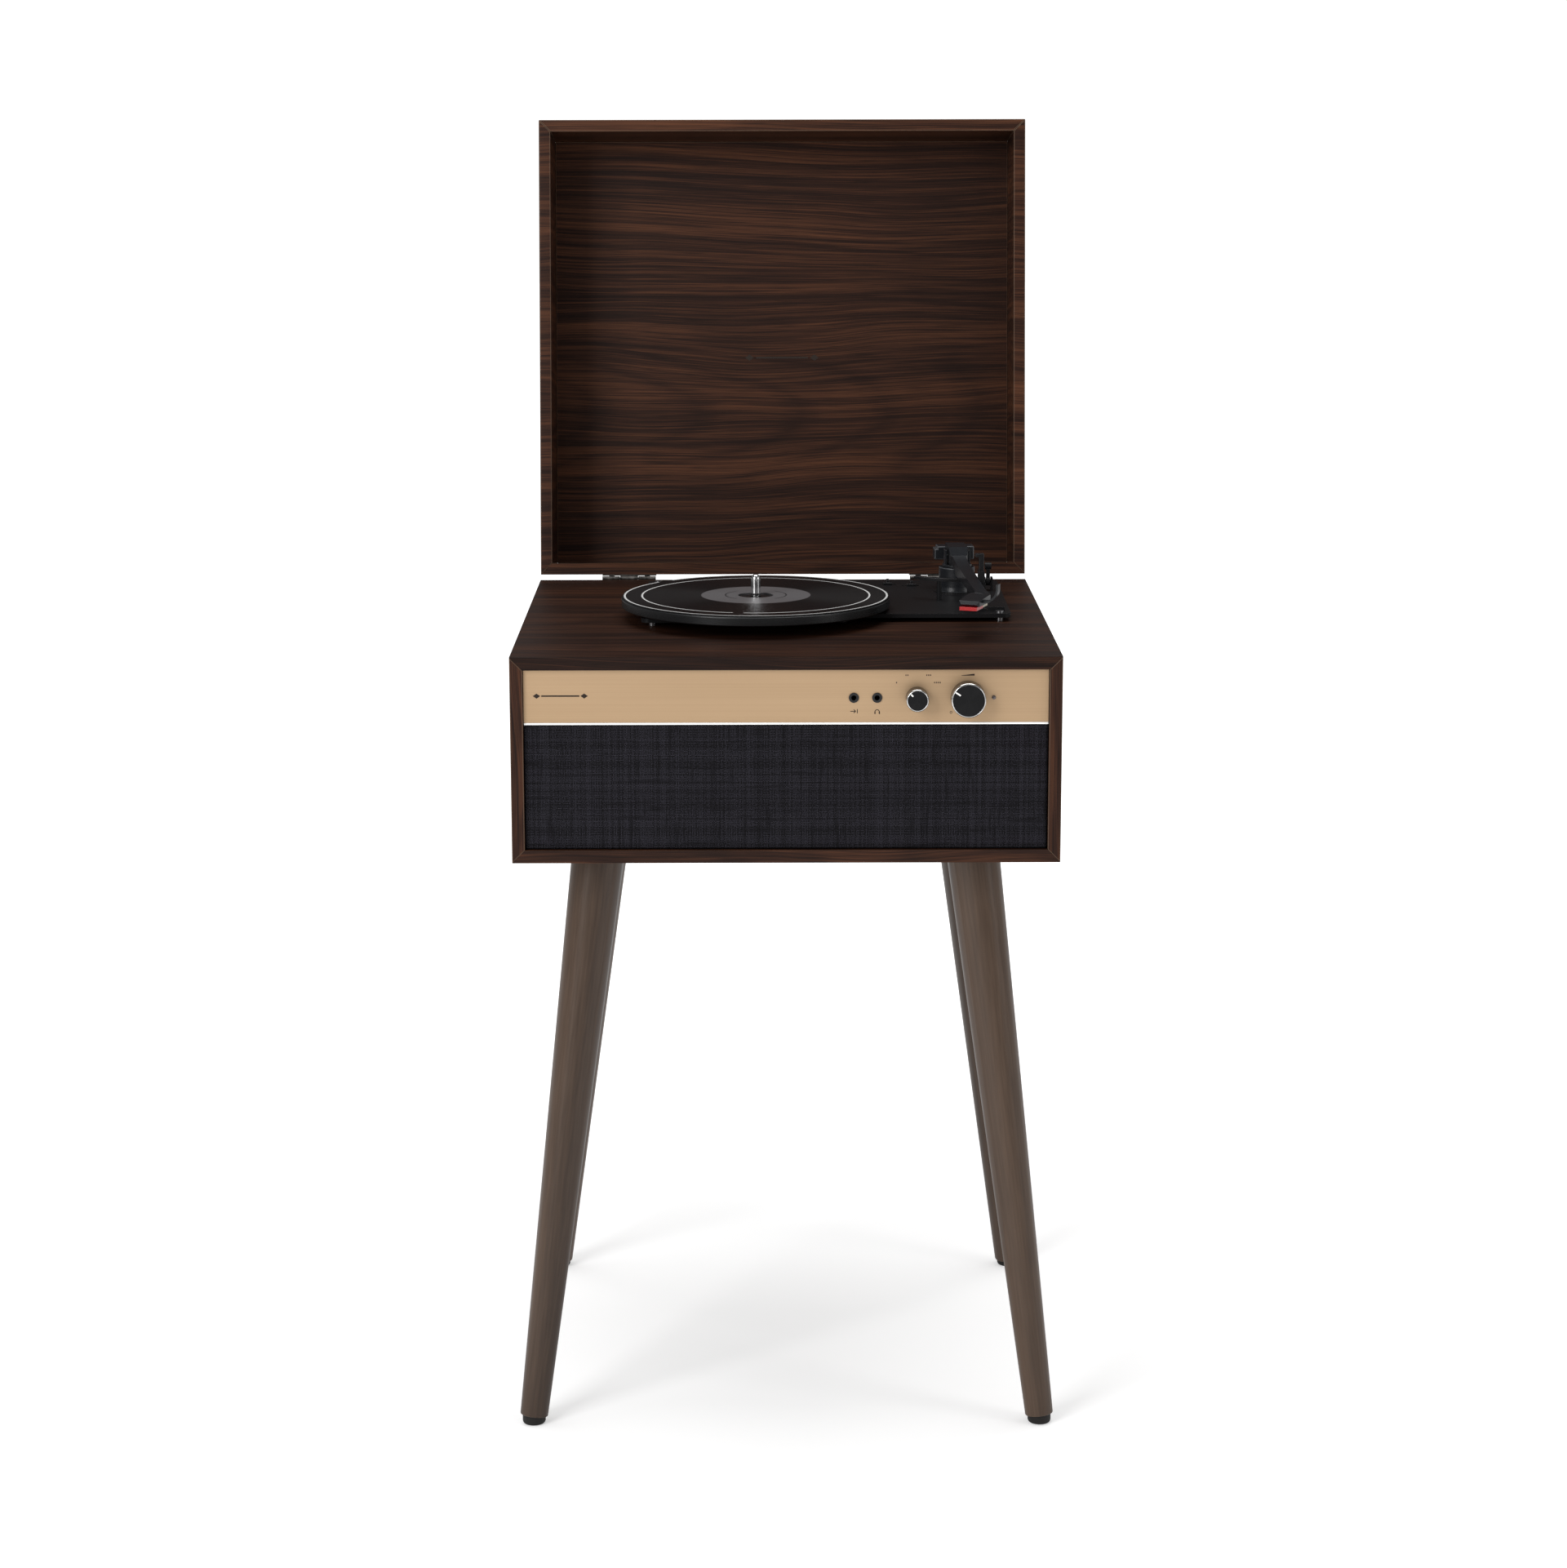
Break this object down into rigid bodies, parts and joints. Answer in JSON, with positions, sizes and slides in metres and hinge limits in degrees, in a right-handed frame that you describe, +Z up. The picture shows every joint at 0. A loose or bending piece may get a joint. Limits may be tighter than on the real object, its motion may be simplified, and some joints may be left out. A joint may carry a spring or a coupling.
{
  "type": "record player console",
  "caption": "Record-player console: lidded wooden box on splayed tapered legs, belt-driven deck with tonearm on top, cloth grille and brass-coloured control panel in front.",
  "frame": {"origin": "on the floor, at the middle of the whole console's box as it stands with its lid open", "axes": "+X to the right as seen from the front, +Y from the front to the back, +Z up"},
  "size_m": [0.3834, 0.4957, 0.9165],
  "materials": {
    "walnut_case": "satin",
    "walnut_legs": "satin",
    "black_board": "matt",
    "gold_panel": "brushed",
    "bright_trim": "polished",
    "grille_cloth": "woven",
    "speaker_steel": "satin",
    "speaker_cone": "matt",
    "circuit_board": "matt",
    "switch_metal": "satin",
    "socket_plastic": "satin",
    "led_lens": "clear",
    "steel": "satin",
    "foot_plastic": "matt",
    "hinge_metal": "antique",
    "knob_plastic": "satin",
    "knob_ring": "polished",
    "deck_plastic": "satin",
    "spindle_steel": "polished",
    "mat_rubber": "satin",
    "platter_plastic": "satin",
    "belt_rubber": "matt",
    "pulley_brass": "turned",
    "arm_plastic": "satin",
    "cartridge_plastic": "satin",
    "stylus_red": "gloss"
  },
  "bodies": {
    "case": {"case_top": "walnut_case", "case_bottom": "walnut_case", "case_left": "walnut_case", "case_right": "walnut_case", "case_back": "black_board", "case_screws": "steel", "front_board": "black_board", "control_panel": "gold_panel", "trim_strip": "bright_trim", "grille_frame": "black_board", "grille_cloth": "grille_cloth", "speaker_left": "speaker_steel", "speaker_right": "speaker_steel", "speaker_cones": "speaker_cone", "amp_board": "circuit_board", "selector_switch": "switch_metal", "volume_pot": "switch_metal", "front_jacks": "socket_plastic", "power_led": "led_lens", "rear_sockets": "socket_plastic", "leg_front_left": "walnut_legs", "leg_front_right": "walnut_legs", "leg_back_left": "walnut_legs", "leg_back_right": "walnut_legs", "leg_plates": "steel", "leg_bolts": "steel", "leg_glides": "foot_plastic", "hinge_case_leaves": "hinge_metal", "hinge_pins": "hinge_metal", "deck_plate": "deck_plastic", "deck_mounts": "steel", "motor": "steel", "drive_belt": "belt_rubber", "spindle": "spindle_steel", "arm_base": "arm_plastic", "arm_rest": "deck_plastic"},
    "lid": {"lid_panel": "walnut_case", "lid_front": "walnut_case", "lid_back": "walnut_case", "lid_left": "walnut_case", "lid_right": "walnut_case", "hinge_lid_leaves": "hinge_metal", "hinge_lid_screws": "hinge_metal"},
    "platter_set": {"platter": "platter_plastic", "platter_mat": "mat_rubber"},
    "pulley": {"motor_pulley": "pulley_brass"},
    "arm_turn": {"arm_yoke": "arm_plastic"},
    "arm": {"tonearm": "arm_plastic", "arm_weight": "arm_plastic", "cartridge": "cartridge_plastic", "stylus": "stylus_red"},
    "clip": {"arm_clip": "deck_plastic"},
    "cueing_lever": {"cue_lever": "deck_plastic"},
    "lifter": {"cue_lifter": "deck_plastic"},
    "speed_slider": {"speed_lever": "deck_plastic"},
    "stop_slider": {"stop_lever": "deck_plastic"},
    "selector": {"selector_knob": "knob_plastic", "selector_ring": "knob_ring"},
    "volume": {"volume_knob": "knob_plastic", "volume_ring": "knob_ring"}
  },
  "joints": [
    {"name": "lid_hinge", "type": "hinge", "parent": "case", "child": "lid", "pos_m": [0, 0.12115, 0.5615], "axis": [1, 0, 0], "range_deg": [0, 98.3]},
    {"name": "platter_spin", "type": "hinge", "parent": "case", "child": "platter_set", "pos_m": [-0.021, -0.06565, 0.573], "axis": [0, 0, 1], "continuous": true},
    {"name": "pulley_spin", "type": "hinge", "parent": "case", "child": "pulley", "pos_m": [-0.08817, -0.01862, 0.571], "axis": [0, 0, 1], "continuous": true},
    {"name": "arm_swing", "type": "hinge", "parent": "case", "child": "arm_turn", "pos_m": [0.131, 0.01735, 0.594], "axis": [0, 0, -1], "range_deg": [0, 43]},
    {"name": "arm_lift", "type": "hinge", "parent": "arm_turn", "child": "arm", "pos_m": [0.131, 0.01735, 0.594], "axis": [-0.998, -0.0628, 0], "range_deg": [0, 2.55]},
    {"name": "cue_turn", "type": "hinge", "parent": "case", "child": "cueing_lever", "pos_m": [0.155, 0.02235, 0.574], "axis": [1, 0, 0], "range_deg": [0, 50.1]},
    {"name": "cue_rise", "type": "slide", "parent": "case", "child": "lifter", "axis": [0, 0, 1], "range_m": [0, 0.00201]},
    {"name": "clip_turn", "type": "hinge", "parent": "case", "child": "clip", "pos_m": [0.14376, -0.07403, 0.5945], "axis": [0.0628, -0.998, 0], "range_deg": [0, 90]},
    {"name": "speed_slide", "type": "slide", "parent": "case", "child": "speed_slider", "axis": [1, 0, 0], "range_m": [-0.0045, 0.0045]},
    {"name": "stop_slide", "type": "slide", "parent": "case", "child": "stop_slider", "axis": [1, 0, 0], "range_m": [-0.0045, 0.0045]},
    {"name": "selector_turn", "type": "hinge", "parent": "case", "child": "selector", "pos_m": [0.0902, -0.23465, 0.532], "axis": [0, 1, 0], "range_deg": [0, 90]},
    {"name": "volume_turn", "type": "hinge", "parent": "case", "child": "volume", "pos_m": [0.1253, -0.23465, 0.532], "axis": [0, 1, 0], "range_deg": [-93, 207]}
  ],
  "couplings": [
    {"joint": "pulley_spin", "follows": "platter_spin", "ratio": 12.964},
    {"joint": "cue_rise", "follows": "arm_lift", "m_per_rad": 0.044985},
    {"joint": "cue_turn", "follows": "arm_lift", "ratio": 19.628}
  ]
}
